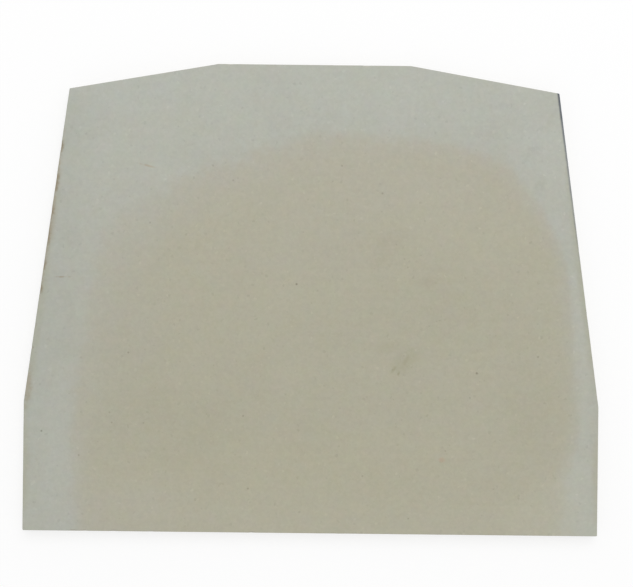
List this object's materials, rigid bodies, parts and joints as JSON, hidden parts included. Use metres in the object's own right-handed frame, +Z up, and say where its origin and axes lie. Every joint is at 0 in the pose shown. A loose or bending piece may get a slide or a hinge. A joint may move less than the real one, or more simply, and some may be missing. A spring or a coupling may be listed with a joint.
{
  "type": "kiln shelf",
  "caption": "Flat slab of fired cordierite with a straight front edge, sides that lean in and a bevelled back, for standing ware on inside a kiln.",
  "frame": {"origin": "centre of the slab's width and depth, on its underside", "axes": "+X along the front edge to the right, +Y from the front edge to the back edge, +Z up through the thickness"},
  "size_m": [0.508, 0.414, 0.016],
  "materials": {
    "fired_cordierite": "matte"
  },
  "bodies": {
    "root": {"kiln_shelf": "fired_cordierite"}
  },
  "joints": []
}
